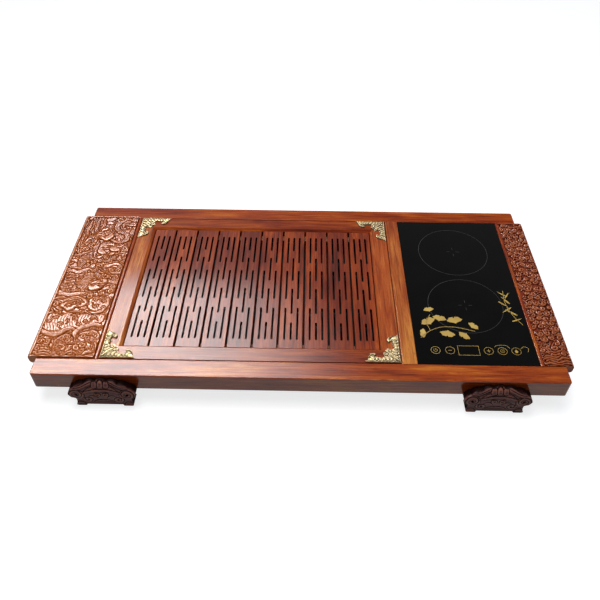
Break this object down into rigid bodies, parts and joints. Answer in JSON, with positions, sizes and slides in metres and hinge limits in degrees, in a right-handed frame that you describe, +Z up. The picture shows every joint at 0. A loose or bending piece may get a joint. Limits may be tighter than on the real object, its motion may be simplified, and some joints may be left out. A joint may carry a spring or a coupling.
{
  "type": "gongfu tea table",
  "caption": "Low hardwood tea tray with carved ends and feet, a lift-out slotted drain grid with brass corners over a basin, and a drop-in induction hob with two zones.",
  "frame": {"origin": "on the floor under the middle of the table", "axes": "+X along the table to the hob end, +Y to the back, +Z up"},
  "size_m": [0.893, 0.474, 0.068],
  "materials": {
    "rosewood": "clear gloss lacquer",
    "rosewood_slats": "clear gloss lacquer",
    "rosewood_carved": "clear gloss lacquer over carving",
    "rosewood_dark": "dark stain under satin lacquer",
    "frame_wood": "bare planed",
    "cast_brass": "polished",
    "black_glass": "polished ceramic glass",
    "black_plastic": "fine texture",
    "screw_steel": "zinc plated",
    "strainer_steel": "satin",
    "spigot_plastic": "smooth",
    "gasket_rubber": "matte",
    "coil_copper": "enamelled litz wire",
    "ferrite": "fired, matte",
    "board_laminate": "glass epoxy laminate",
    "sink_aluminium": "extruded",
    "capacitor_sleeve": "shrink sleeve"
  },
  "bodies": {
    "table": {"front_rail": "rosewood", "rear_rail": "rosewood", "carved_panel_left": "rosewood_carved", "carved_panel_right": "rosewood_carved", "bead_bar": "rosewood", "middle_stile": "rosewood", "hob_end_bar": "rosewood", "cross_bearer_left": "frame_wood", "cross_bearer_right": "frame_wood", "grid_ledge_front": "frame_wood", "grid_ledge_rear": "frame_wood", "hob_ledge_front": "frame_wood", "hob_ledge_rear": "frame_wood", "ledge_screws": "screw_steel", "drain_basin": "black_plastic", "drain_spigot": "spigot_plastic", "drain_gasket": "gasket_rubber", "drain_nut": "black_plastic", "drain_strainer": "strainer_steel", "foot_front_left": "rosewood_dark", "foot_front_right": "rosewood_dark", "foot_rear_left": "rosewood_dark", "foot_rear_right": "rosewood_dark", "foot_screws": "screw_steel"},
    "drain_grid": {"grid_rail_front": "rosewood", "grid_rail_rear": "rosewood", "grid_stile_left": "rosewood", "grid_stile_right": "rosewood", "grid_batten_front": "frame_wood", "grid_batten_rear": "frame_wood", "corner_front_left": "cast_brass", "corner_front_right": "cast_brass", "corner_rear_left": "cast_brass", "corner_rear_right": "cast_brass", "corner_pins": "cast_brass", "slat_01": "rosewood_slats", "slat_02": "rosewood_slats", "slat_03": "rosewood_slats", "slat_04": "rosewood_slats", "slat_05": "rosewood_slats", "slat_06": "rosewood_slats", "slat_07": "rosewood_slats", "slat_08": "rosewood_slats", "slat_09": "rosewood_slats", "slat_10": "rosewood_slats"},
    "hob": {"hob_glass": "black_glass", "hob_tub": "black_plastic", "hob_screws": "screw_steel", "cord_gland": "black_plastic", "coils": "coil_copper", "coil_carriers": "black_plastic", "ferrite_bars": "ferrite", "power_board": "board_laminate", "heat_sink": "sink_aluminium", "filter_capacitors": "capacitor_sleeve", "touch_board": "board_laminate", "fan_frame": "black_plastic", "tub_posts": "black_plastic"},
    "hob_fan": {"fan_rotor": "black_plastic"}
  },
  "joints": [
    {"name": "grid_lift", "type": "slide", "parent": "table", "child": "drain_grid", "axis": [0, 0, 1], "range_m": [0, 0.05]},
    {"name": "hob_lift", "type": "slide", "parent": "table", "child": "hob", "axis": [0, 0, 1], "range_m": [0, 0.08]},
    {"name": "fan_spin", "type": "hinge", "parent": "hob", "child": "hob_fan", "pos_m": [0.292, -0.06204, 0.02], "axis": [0, 0, 1], "continuous": true}
  ]
}
